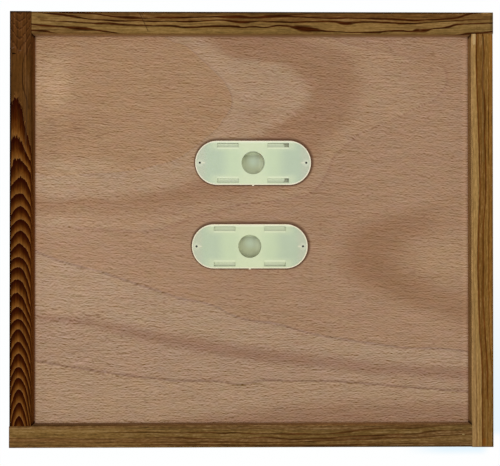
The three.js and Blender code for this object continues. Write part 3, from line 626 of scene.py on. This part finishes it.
plywoodLook = {
    # the face veneer's rings round an eye at the back left: (direction in degrees, reach)
    "eye": (-157.4, 125.8), "eyeRange": (0.0, 500.0),
    "eyeRings": [
        [(-180, 100), (-124, 87), (-98, 73), (-75, 74), (-54, 84), (-43, 93), (-35, 102), (-27, 109),
         (-21, 115), (-14, 124), (-8, 132), (-3, 137), (1, 138), (7, 133), (13, 124), (21, 114), (30, 106),
         (37, 97), (90, 100), (180, 100)],
        [(-180, 122), (-117, 107), (-96, 96), (-73, 98), (-52, 111), (-42, 123), (-32, 132), (-18, 153),
         (-9, 177), (-5, 195), (-1, 209), (2, 214), (6, 205), (10, 193), (13, 169), (19, 138), (28, 127),
         (90, 120), (180, 122)],
        [(-180, 134), (-114, 119), (-95, 108), (-75, 112), (-62, 123), (-50, 136), (-43, 146), (-33, 174),
         (-27, 195), (-22, 215), (-16, 225), (-12, 230), (-8, 240), (-4, 254), (0, 259), (4, 262), (9, 257),
         (13, 234), (16, 216), (30, 182), (90, 140), (180, 134)],
        [(-180, 146), (-112, 132), (-99, 126), (-81, 128), (-69, 137), (-60, 144), (-50, 151), (-42, 164),
         (-36, 175), (-32, 190), (-28, 209), (-25, 224), (-22, 236), (-18, 241), (-14, 243), (-11, 250),
         (-7, 265), (-5, 283), (-3, 302), (-1, 321), (1, 341), (4, 349), (6, 343), (7, 324), (10, 286),
         (16, 240), (90, 160), (180, 146)],
    ],
    # the rings that cross the front half: (x, y)
    "longRange": (-300.0, 100.0),
    "longRings": [
        [(-210, -21.9), (-186, -30.7), (-148, -41.4), (-123, -49.1), (-104, -56.0), (-84, -61.8),
         (-70, -66.7), (-51, -70.6), (-36, -75.4), (-19, -84.2), (-2, -89.1), (22, -92.0), (47, -98.9),
         (71, -104.7), (95, -108.7), (125, -112.6), (154, -116.6), (183, -117.6), (210, -120.5)],
        [(-209, -82.0), (-147, -88.9), (-99, -97.7), (-51, -105.5), (-2, -113.4), (47, -120.3),
         (95, -126.2), (144, -131.1), (210, -135.2)],
        [(-209, -85.9), (-147, -96.6), (-99, -109.3), (-51, -119.1), (-2, -127.0), (47, -132.9),
         (95, -137.8), (144, -141.8), (210, -146.8)],
        [(-209, -127.6), (-167, -135.4), (-138, -139.3), (-99, -144.2), (-70, -147.2), (-36, -148.3),
         (-12, -151.2), (10, -147.4), (37, -147.4), (76, -148.5), (125, -151.5), (164, -154.5),
         (210, -157.5)],
        [(-209, -196.3), (-99, -190.8), (-51, -183.1), (8, -175.5), (47, -170.8), (95, -168.9),
         (144, -168.1), (210, -168.2)],
    ],
    "softness": [2.4, 9.0, 14.0, 3.2, 2.4, 7.0, 5.0, 2.6, 9.0],      # of the rings above, in turn
    # tones by the number of rings crossed; those between whole numbers are the rings' own lines
    "tones": [(0.0, (162, 128, 98)), (0.25, (166, 132, 100)), (0.5, (155, 124, 100)),
              (0.7, (157, 127, 102)), (1.0, (167, 137, 110)), (2.0, (152, 117, 90)), (3.0, (165, 133, 105)),
              (3.35, (154, 121, 97)), (3.65, (156, 122, 97)), (4.0, (162, 129, 102)), (4.3, (148, 119, 99)),
              (4.65, (152, 123, 101)), (4.9, (167, 138, 112)), (5.0, (167, 138, 112)),
              (6.0, (148, 115, 93)), (7.0, (164, 134, 109)), (7.3, (143, 113, 92)), (7.65, (145, 115, 93)),
              (7.9, (168, 138, 110)), (8.0, (165, 135, 108)), (9.0, (150, 117, 92))],
    # a dark nose that points left from the right rail: (direction, reach)
    "nose": (208.7, -28.0), "noseRange": (0.0, 200.0),
    "noseRing": [(-180, 58), (-90, 58), (-63, 56), (-44, 63), (-29, 74), (-16, 93), (-10, 103), (-2, 111),
                 (5, 112), (15, 102), (24, 87), (37, 68), (53, 59), (68, 56), (90, 59), (180, 58)],
    # each noise's reach in x, y and z, its detail, its roughness and its shift
    "broadNoises": {
        "drift": ((90, 22, 40), 1.0, 0.5), "fine": ((40, 2.4, 2.4), 3.0, 0.6),
        "wave": ((24, 12, 40), 1.0, 0.5, (3, 7, 2)), "crowd": ((60, 30, 60), 1.0, 0.5, (9, 9, 2)),
        "core": ((1.2, 1.2, 0.5), 3.0, 0.5),
    },
    "fibreNoises": {
        "streaks": ((26, 3.0, 6), 2.0, 0.5), "red": ((60, 2.4, 8), 2.0, 0.5, (2, 8, 5)),
        "redder": ((12, 8, 20), 2.0, 0.75, (31, 4, 6)), "bluer": ((12, 8, 20), 2.0, 0.75, (3, 41, 6)),
        "pores": ((4.6, 0.6, 2), 0.0, 0.5, (4, 1, 8)), "longPores": ((9.0, 0.55, 2), 0.0, 0.5, (14, 3, 8)),
        "lines": ((26.0, 0.8, 2), 0.0, 0.5, (44, 3, 8)), "flecks": ((9, 0.6, 2), 1.0, 0.5, (24, 13, 8)),
    },
    "fibreDashes": ((11.0, 0.85, 3), (5, 2, 1)), "tickDashes": ((2.3, 0.85, 4), (11, 5, 3)),
    "noseTone": (144, 108, 80), "noseMiddle": (168, 136, 106),
    "tint": (0.94, 1.1, 1.42), "reddish": (152, 102, 76), "fleck": (204, 170, 138),
    "pore": (106, 65, 39), "glue": (92, 58, 34), "core": ((132, 96, 62), (186, 150, 110)),
    "escapeShade": (54, 22, 4), "leftEdgeShade": (96, 54, 32),
    "plies": (1.0, 2.0),                             # the glue lines, from the panel's middle plane
    "roughness": 0.6, "bump": 0.00009, "bumpStrength": 0.6, "specular": 0.012,
    # where the dashes are calmer, and where long thin lines run out of the eye: (x, y, reach x, reach y)
    "calm": (10.0, -20.0, 130.0, 70.0), "longLines": (-185.0, 96.0, 62.0, 42.0),
    # soft clouds: (x, y, reach x, reach y, strength, tone)
    "clouds": [(-214.0, 141.0, 26.0, 27.0, 0.5, (190, 158, 125)),
               (-190.0, 141.0, 14.0, 23.0, 0.55, (190, 158, 124)),
               (66.0, 22.0, 24.0, 26.0, 0.22, (146, 110, 84)),
               (-172.0, 61.0, 42.0, 8.0, 0.5, (178, 152, 124)),
               (-196.0, 47.0, 24.0, 7.0, 0.4, (180, 152, 124)),
               (-190.0, 4.0, 26.0, 8.0, 0.4, (176, 148, 122)),
               (176.0, 158.0, 30.0, 20.0, 0.3, (146, 108, 80)),
               (4.0, 112.0, 20.0, 9.0, 0.3, (146, 108, 80)),
               (206.0, 20.0, 20.0, 14.0, 0.35, (174, 142, 112)),
               (186.0, -60.0, 26.0, 10.0, 0.12, (172, 140, 112))],
    # where the pores crowd: (x, y, reach x, reach y, strength)
    "crowds": [(-160.0, -83.0, 11.0, 4.0, 0.6), (-150.0, -86.0, 9.0, 3.5, 0.4),
               (-101.0, -58.0, 9.0, 3.0, 0.4), (-118.0, -140.0, 30.0, 6.0, 0.25),
               (-62.0, -103.0, 40.0, 9.0, 0.2)],
}


def turnAndReach(dx, dy):
    # direction in degrees and distance
    return maths("ARCTAN2", dy, dx) * math.degrees(1), hypotenuse(dx, dy)


def pool(place, middleX, middleY, reachX, reachY):
    # a soft hill: 1 at its middle, about a third at its reach, the same at every height
    away = place.node("ShaderNodeMapping", {"vector_type": "TEXTURE"},
                      {"Vector": place, "Location": (middleX, middleY, 0.0),
                       "Scale": (reachX, reachY, 1e6)})
    squared = away.node("ShaderNodeVectorMath", {"operation": "DOT_PRODUCT"}, {0: away, 1: away}, 1)
    return maths("EXPONENT", squared * -1)


def veneer(name, look, escapes):
    material, place = startMaterial(name)
    x, y, z = split(place)
    broad = noises(place, look["broadNoises"])
    waver = broad["fine"] * 0.5 + broad["drift"]
    # the tone changes from one ring to the next
    direction, reach = turnAndReach(x - look["eye"][0], y - look["eye"][1])
    gaps = [reach - drawn(direction, 180.0, ring, 1, *look["eyeRange"]) for ring in look["eyeRings"]]
    gaps += [drawn(x, boardHalfX, ring, 1, *look["longRange"]) - y for ring in look["longRings"]]
    crossed = sum(ease(gap + waver, -soft, soft) for gap, soft in zip(gaps, look["softness"]))
    rings = len(gaps)
    colour = ramp(crossed / rings, [(v / rings, tone) for v, tone in look["tones"]])
    # the nose, dark round a paler middle
    direction, reach = turnAndReach(look["nose"][0] - x, y - look["nose"][1])
    nearness = (reach + waver) / drawn(direction, 180.0, look["noseRing"], 1, *look["noseRange"])
    inside = ease(nearness, 0.8, 0.2)
    nose = ease(nearness, 1.24, 0.92) * (1 - inside)
    nose = nose * ease(x, 208, 150, 0.6, 0.85) * ease(direction, 75, 0, 0.6, 1.0)
    colour = mixed(nose, colour, look["noseTone"])
    colour = mixed(inside * 0.8, colour, look["noseMiddle"])
    for *spot, strength, tone in look["clouds"]:
        colour = mixed(pool(place, *spot) * strength, colour, tone)

    # streaks along the fibre follow the rings a little; the dark ones are redder
    lean = ease(y, -190, -20, -0.015, 0.065)          # towards the back the fibre runs a little askew
    bent = join(x, y + x * lean + crossed * 1.2 + broad["wave"] * 1.3, z)
    noise = noises(bent, look["fibreNoises"])
    streaks = noise["streaks"]
    fibres = dashes(bent, *look["fibreDashes"])
    ticks = dashes(bent, *look["tickDashes"])
    calm = pool(place, *look["calm"])
    dash = (fibres * 0.17 + ticks * 0.205) * (ease(y, -60, -110, 1.0, 1.13) - calm * 0.3)
    change = streaks * 0.07 + dash * 1.2 - bigger(dash, 0.0) * 0.45 + 0.012   # dark dashes are the stronger
    tint = change.node("ShaderNodeVectorMath", {"operation": "MULTIPLY_ADD"},
                       {0: change, 1: look["tint"], 2: (1.0, 1.0, 1.0)})
    colour = multiplied(colour, tint)
    # the hue wanders by itself, towards red and towards blue
    colour = multiplied(colour, join(1 + noise["redder"] * 0.046, 1.0, 1 + noise["bluer"] * 0.07))
    # the left of the panel is a little paler
    paler = ease(x, -50, -206) * ease(y, 78, 40) * ease(y, -60, -105, 0.07, 0.0)
    colour = brighter(colour, 1 + (paler + ease(x, 60, -206) * 0.055))
    colour = mixed(ease(noise["red"], 0.1, 1.7) * 0.24, colour, look["reddish"])
    # open pores: short dark dashes, crowded in a few places
    crowd = broad["crowd"] * 0.18
    for *spot, strength in look["crowds"]:
        crowd = crowd + pool(place, *spot) * strength
    pores = bigger(ease(noise["pores"] + crowd, 0.6, 1.4), ease(noise["longPores"] + crowd, 0.65, 1.5))
    lines = ease(noise["lines"] + pool(place, *look["longLines"]) * 0.85, 1.15, 1.9)
    dark = bigger(pores * 0.6, lines * 0.62)
    colour = mixed(dark, colour, look["pore"])
    colour = mixed(ease(noise["flecks"], 1.1, 1.9) * 0.45, colour, look["fleck"])

    # a dark line of painted shadow lies against the edge of each escape, widest towards the back
    for middleX, middleY in escapes["middles"].values():
        dx, dy = x - middleX, y - middleY
        askew = dy + dx * 0.25
        wide = ease(askew, -26, 26, 1.3, 3.6) + ticks * 0.4
        shade = ease(roundEndDistance(dx, dy, escapes) / wide, 1.2, 0.3) * ease(askew, -30, 24, 0.8, 0.7)
        colour = mixed(shade, colour, look["escapeShade"])

    # painted light: the panel is lighter where it meets the rails, most at the right
    sides = bigger(ease(absolute(y), innerHalfY - 6.5, innerHalfY - 0.5),
                   ease(x, 8.5 - innerHalfX, 2.5 - innerHalfX)) * 0.5
    near = bigger(ease(x, innerHalfX - 8.5, innerHalfX - 1.5), sides)
    colour = brighter(colour, 1 + near * 0.2)
    # painted shade: a dark strip along the foot of the left rail
    colour = mixed(ease(x, 1.5 - innerHalfX, 0.1 - innerHalfX) * 0.45, colour, look["leftEdgeShade"])

    # the core plies, seen in the slots' walls: crossed grain between glue lines
    level = absolute(z - panelMiddle)
    inner, outer = look["plies"]
    core = mixed(ease(broad["core"], -1, 1), *look["core"])
    seam = bigger(ease(absolute(level - inner), 0.16, 0.06), ease(absolute(level - outer), 0.14, 0.05))
    colour = mixed(ease(level, outer + 0.05, outer - 0.05), colour, brighter(core, 1 + fibres * 0.06))
    colour = mixed(seam * 0.8, colour, look["glue"])

    height = fibres * 0.35 + streaks * 0.25 - dark * 1.2     # pores are hollows
    roughness = look["roughness"] + fibres * 0.04 + dark * 0.15
    return finishMaterial(material, colour, roughness, bumped(height, look["bump"], look["bumpStrength"]),
                          {"Specular IOR Level": look["specular"]})


plywoodMaterial = veneer("plywoodFace", plywoodLook, escapeLook)
print("plywood finished")


def windowPlace(dx, dy, look):
    # how far past a moulding window's edges, along and across, and how far behind its middle line
    first, last, inner, outer = look["windows"]
    fromMiddle = absolute(dy) - (inner + outer) / 2
    pastX = absolute(absolute(dx) - (first + last) / 2) - (last - first) / 2
    return pastX, absolute(fromMiddle) - (outer - inner) / 2, maths("SIGN", dy) * fromMiddle


def coverColour(look, z, dx, dy, cloud, fine):
    # painted light: lighter where the housing lies close below, as if lit through from it, greener over the
    # open slot ends
    out = absolute(dx)
    colour = mixed(ease(out + cloud * 1.5, *look["middleTo"]), look["waist"], look["middle"])
    colour = mixed(ease(out + cloud * 2, *look["waistTo"]), colour, look["shoulder"])
    colour = mixed(ease(out + cloud, *look["shoulderTo"]), colour, look["end"])
    sides = ease(absolute(dy) + cloud * 0.7, *look["sidesFrom"]) * ease(out, 46, 36)
    colour = mixed(sides * 0.6, colour, look["sides"])
    colour = brighter(colour, ease(dx, 12, 30, 1.0, 0.96))
    # painted light on the strip along the back edge
    colour = mixed(ease(dy, 18.8, 19.4) * 0.5, colour, look["backEdgeLight"])
    # a painted highlight on the rounded rim, strongest at the ends and along the back
    rimHighlight = ease(roundEndDistance(dx, dy, look) + fine * 0.1, -1.35, -0.75)
    rimHighlight = rimHighlight * bigger(ease(out, 24, 38, 0.75, 0.95), ease(dy, 0, 8) * 0.95)
    colour = mixed(rimHighlight, colour, look["rimHighlight"])
    # a short pale flow mark runs inward from each pin hole
    flow = ease(absolute(out - look["flowMarks"]), 2.6, 0.8) * ease(absolute(dy), 1.0, 0.2)
    colour = mixed(flow * 0.6, colour, look["flow"])
    # painted shade: a faint dark outline round the moulding windows, and shade on the hooks below them
    pastX, pastY, behind = windowPlace(dx, dy, look)
    past = bigger(pastX, pastY)
    outline = ease(past + fine * 0.08, 0.75, 0.15) * ease(past, -0.6, -0.2)
    outline = outline * ease(behind, 1.9, 1.2, 0.1, 0.5)
    colour = mixed(outline, colour, look["outline"])
    # painted light along the windows' inner edges
    innerEdge = absolute(absolute(dy) - look["windows"][2] + 0.9)
    lit = ease(innerEdge, 1.3, 0.3) * ease(pastX, 1.0, -1.0)
    colour = mixed(lit * 0.5, colour, look["litEdge"])
    hook = ease(past, 0.1, -0.1) * ease(z, look["hookTop"] + 0.6, look["hookTop"] + 0.3)
    colour = mixed(hook * 0.85, colour, look["hookShade"])
    # the pin holes, in pale rings
    pin = hypotenuse(out - look["pinHoles"], dy)
    colour = mixed(ease(pin, 5.0, 1.5) * 0.3, colour, look["pinRing"])
    # painted shade: the pin holes' walls and rims are painted near black
    pinHole = ease(pin, look["pinHoleRadius"] + 0.42, look["pinHoleRadius"] + 0.32)
    # painted light: the openings' own walls are painted pale, as if lit from above
    hole = ease(hypotenuse(dx, dy), look["roundHole"] + 0.4, look["roundHole"] + 0.1)
    wall = ease(z, look["plateTop"] - 0.06, look["plateTop"] - 0.18) * ease(z, panelTop - 0.2, panelTop)
    return mixed(bigger(ease(past, 0.12, 0.02), hole) * wall, colour, look["openingWallLight"]), pinHole


def housingColour(look, z, dx, dy, cloud):
    # painted shade and a painted gleam of light on the floor of the well under the round hole, not on its
    # underside
    away = hypotenuse(dx, dy)
    aboveBase = ease(z, look["housingBase"] + 0.2, look["housingBase"] + 1.1)
    gleamX, gleamY = look["gleamPlace"]
    bright = hypotenuse(dx - gleamX, dy - gleamY)
    colour = mixed(ease(cloud, -1, 1), look["housing"], look["housingPatch"])
    colour = mixed(ease(away + cloud * 0.6, 15, 11) * aboveBase, colour, look["wellShade"])
    # the gleam is a painted reflection of light
    colour = mixed(ease(bright + cloud * 0.6, 8.5, 0.5) * aboveBase, colour, look["gleam"])
    # painted light: the well is lighter near its rim and towards its back right, a little darker at the
    # front
    inside = ease(away, 14, 12.5) * aboveBase
    colour = mixed(inside * ease(dx + dy, -2, 12) * 0.5, colour, look["wellCorner"])
    wellRimLight = ease(dy, 8.5, 10.8) * 0.8 + ease(dx, 4, 10) * 0.55 + ease(dx, -7, -11) * 0.4
    colour = brighter(colour, 1 + inside * (wellRimLight - ease(dy, -2, -10) * 0.05))
    # painted light and shade: the flange under the moulding windows is lighter towards the back, darker
    # towards the front
    behind = windowPlace(dx, dy, look)[2]
    first = look["windows"][0]
    shelf = ease(absolute(dx), first - 1, first) * ease(away, 12, 14)
    shelf = shelf * ease(z, look["hookTop"] + 0.4, look["hookTop"] + 1.4)
    return brighter(colour, 1 + shelf * (ease(behind, 1.3, 2.0) * 0.45 - ease(behind, 1.2, -0.6) * 0.16))


def escapePlastic(side, look, isCover):
    material, place = startMaterial(side + ("CoverPlastic" if isCover else "HousingPlastic"))
    middleX, middleY = look["middles"][side]
    x, y, z = split(place)
    dx, dy = x - middleX, y - middleY
    cloud = grain(place, look["cloudReach"], (middleY, 3, 1), 2.0, 0.5)
    noise = noises(place, look["noises"])
    fine, mottled = noise["fine"], noise["mottled"]
    if isCover:
        colour, pinHole = coverColour(look, z, dx, dy, cloud, fine)
    else:
        colour = housingColour(look, z, dx, dy, cloud)
    colour = brighter(colour, 1 + cloud * 0.02 + fine * 0.015 + mottled * 0.01)
    # dust and handling: a faint warm film in patches
    film = ease(noise["film"], 0.6, 1.9)
    colour = multiplied(mixed(film * 0.16, colour, look["film"]), look["tints"][side])
    # the painted shade in the pin holes goes on over everything
    if isCover:
        colour = mixed(pinHole, colour, look["pinHoleShade"])
    height = fine * 0.4 + mottled * 0.5 + cloud * 0.3
    roughness = look["roughness"] + fine * 0.04 + film * 0.14
    return finishMaterial(material, colour, roughness, bumped(height, look["bump"], look["bumpStrength"]),
                          look["fixed"])


coverMaterials = {side: escapePlastic(side, escapeLook, True) for side in escapeLook["middles"]}
housingMaterials = {side: escapePlastic(side, escapeLook, False) for side in escapeLook["middles"]}
print("escape plastic finished")


bronzeLook = {
    "clean": (206, 152, 86), "stain": (128, 84, 48), "stained": 0.7, "stainFrom": (-0.2, 1.7),
    "noises": {"worked": ((9, 9, 0.35), 3.0, 0.6), "spots": ((3.5, 3.5, 3.5), 4.0, 0.65, (3, 1, 2))},
    "workedGain": 0.07, "roughness": 0.34, "workedRoughness": 0.06, "stainRoughness": 0.2,
    "spotHeight": 0.4, "stainHeight": 0.0, "bump": 0.00002, "bumpStrength": 0.6,
}
steelLook = {
    "clean": (122, 121, 118), "stain": (92, 62, 42), "stained": 0.8, "stainFrom": (0.0, 1.3),
    "noises": {"worked": ((0.4, 0.4, 0.4), 3.0, 0.6), "spots": ((1.6, 1.6, 1.6), 4.0, 0.7, (3, 1, 2))},
    "workedGain": 0.08, "roughness": 0.42, "workedRoughness": 0.07, "stainRoughness": 0.35,
    "spotHeight": 0.0, "stainHeight": 0.6, "bump": 0.00003, "bumpStrength": 0.7,
}


def stainedMetal(name, look):
    # marks of rolling or drawing, under spots of tarnish or rust
    material, place = startMaterial(name)
    noise = noises(place, look["noises"])
    worked, spots = noise["worked"], noise["spots"]
    stain = ease(spots, *look["stainFrom"])
    colour = mixed(stain * look["stained"], look["clean"], look["stain"])
    colour = brighter(colour, 1 + worked * look["workedGain"])
    roughness = look["roughness"] + worked * look["workedRoughness"] + stain * look["stainRoughness"]
    height = worked + spots * look["spotHeight"] + stain * look["stainHeight"]
    return finishMaterial(material, colour, roughness, bumped(height, look["bump"], look["bumpStrength"]),
                          {"Metallic": 1.0})


bronzeMaterial = stainedMetal("springBronze", bronzeLook)
steelMaterial = stainedMetal("nailSteel", steelLook)
print("metal finished")


def dress(piece, material):
    piece.data.materials.clear()
    piece.data.materials.append(material)


for name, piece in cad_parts.items():
    side = name.split("_")[0]
    if name in railMaterials:
        dress(piece, railMaterials[name])
    elif name == "plywood_panel":
        dress(piece, plywoodMaterial)
    elif name.endswith("cover_plate"):
        dress(piece, coverMaterials[side])
    elif name.endswith("spring_housing"):
        dress(piece, housingMaterials[side])
    elif name.startswith("nail_"):
        dress(piece, steelMaterial)
    else:
        dress(piece, bronzeMaterial)
print("pieces dressed")


studio = {
    "sky": 0.5, "lampPower": 17.0, "lampSize": 1.5, "lampPlace": (0.1, 0.05, 1.7),
    "floorSize": 6.0, "floorTone": (0.7, 0.7, 0.7, 1.0),
    # as the camera sees it beside the board: its glow, what light adds, and the painted cool shadow
    "floorSeen": (0.90, 0.975, 0.985, 1.0), "floorShade": (0.10, 0.025, 0.015, 1.0),
    "floorCoolShadow": (0.72, 0.90, 0.975, 1.0),
}


def seenDirectly(start):
    # 1 for what the camera sees itself, or in a gloss or through a clear body
    light = start.node("ShaderNodeLightPath")
    ways = {socket.name: Wire(socket) for socket in light.socket.node.outputs}
    return bigger(bigger(ways["Is Camera Ray"], ways["Is Glossy Ray"]), ways["Is Transmission Ray"])


def floorMaterial(look):
    material, place = startMaterial("paleFloor")
    x, y, z = split(place)
    # painted shadow: a faint cool shade lies beside the board's right and front edges
    right = ease(x, boardHalfX + 0.5, boardHalfX + 8.5) * ease(x, boardHalfX + 38.5, boardHalfX + 10.5)
    right = right * ease(y, 20, -190) * ease(y, -boardHalfY - 1.5, -boardHalfY + 8.5)
    front = ease(x, 145, 200) * ease(x, boardHalfX + 8.5, boardHalfX - 3.5)
    front = front * ease(y, -boardHalfY - 19.5, -boardHalfY - 11.5) * ease(y, -100, -200)
    cool = mixed(bigger(right, front), look["floorSeen"], look["floorCoolShadow"])
    glow = place.node("ShaderNodeEmission", None, {"Color": cool, "Strength": 1.0})
    shade = place.node("ShaderNodeBsdfDiffuse", None, {"Color": look["floorShade"]})
    pale = place.node("ShaderNodeAddShader", None, {0: glow, 1: shade})
    plain = place.node("ShaderNodeBsdfDiffuse", None, {"Color": look["floorTone"]})
    # the strip under the board keeps its own darkness, so the slots and pin holes look into shade
    under = bigger(absolute(x) / (boardHalfX - 2), absolute(y) / (boardHalfY - 2))
    clear = ease(under, 0.98, 1.0)
    both = place.node("ShaderNodeMixShader", None, {0: seenDirectly(place) * clear, 1: plain, 2: pale})
    both.node("ShaderNodeOutputMaterial", None, {"Surface": both})
    return material


reach = studio["floorSize"] / 2
floorMesh = bpy.data.meshes.new("floor")
floorMesh.from_pydata([(-reach, -reach, 0), (reach, -reach, 0), (reach, reach, 0), (-reach, reach, 0)], [],
                      [(0, 1, 2, 3)])
floor = bpy.data.objects.new("floor", floorMesh)
floor.data.materials.append(floorMaterial(studio))
bpy.context.scene.collection.objects.link(floor)

lampData = bpy.data.lights.new("overheadLamp", "AREA")
lampData.shape = "DISK"
lampData.size = studio["lampSize"]
lampData.energy = studio["lampPower"]
lamp = bpy.data.objects.new("overheadLamp", lampData)
lamp.location = studio["lampPlace"]
lamp.rotation_euler = (math.atan2(-studio["lampPlace"][1], studio["lampPlace"][2]), 0, 0)
bpy.context.scene.collection.objects.link(lamp)

world = bpy.data.worlds.new("softRoom")
world.use_nodes = True
world.node_tree.nodes.clear()
sky = Wire(world.node_tree.nodes.new("ShaderNodeBackground").outputs[0])
sky.socket.node.inputs["Color"].default_value = (1.0, 1.0, 1.0, 1.0)
world.node_tree.links.new((seenDirectly(sky) * (1.0 - studio["sky"]) + studio["sky"]).socket,
                          sky.socket.node.inputs["Strength"])
sky.node("ShaderNodeOutputWorld", None, {"Surface": sky})
bpy.context.scene.world = world
bpy.context.scene.view_settings.view_transform = "Standard"
print("studio lit")
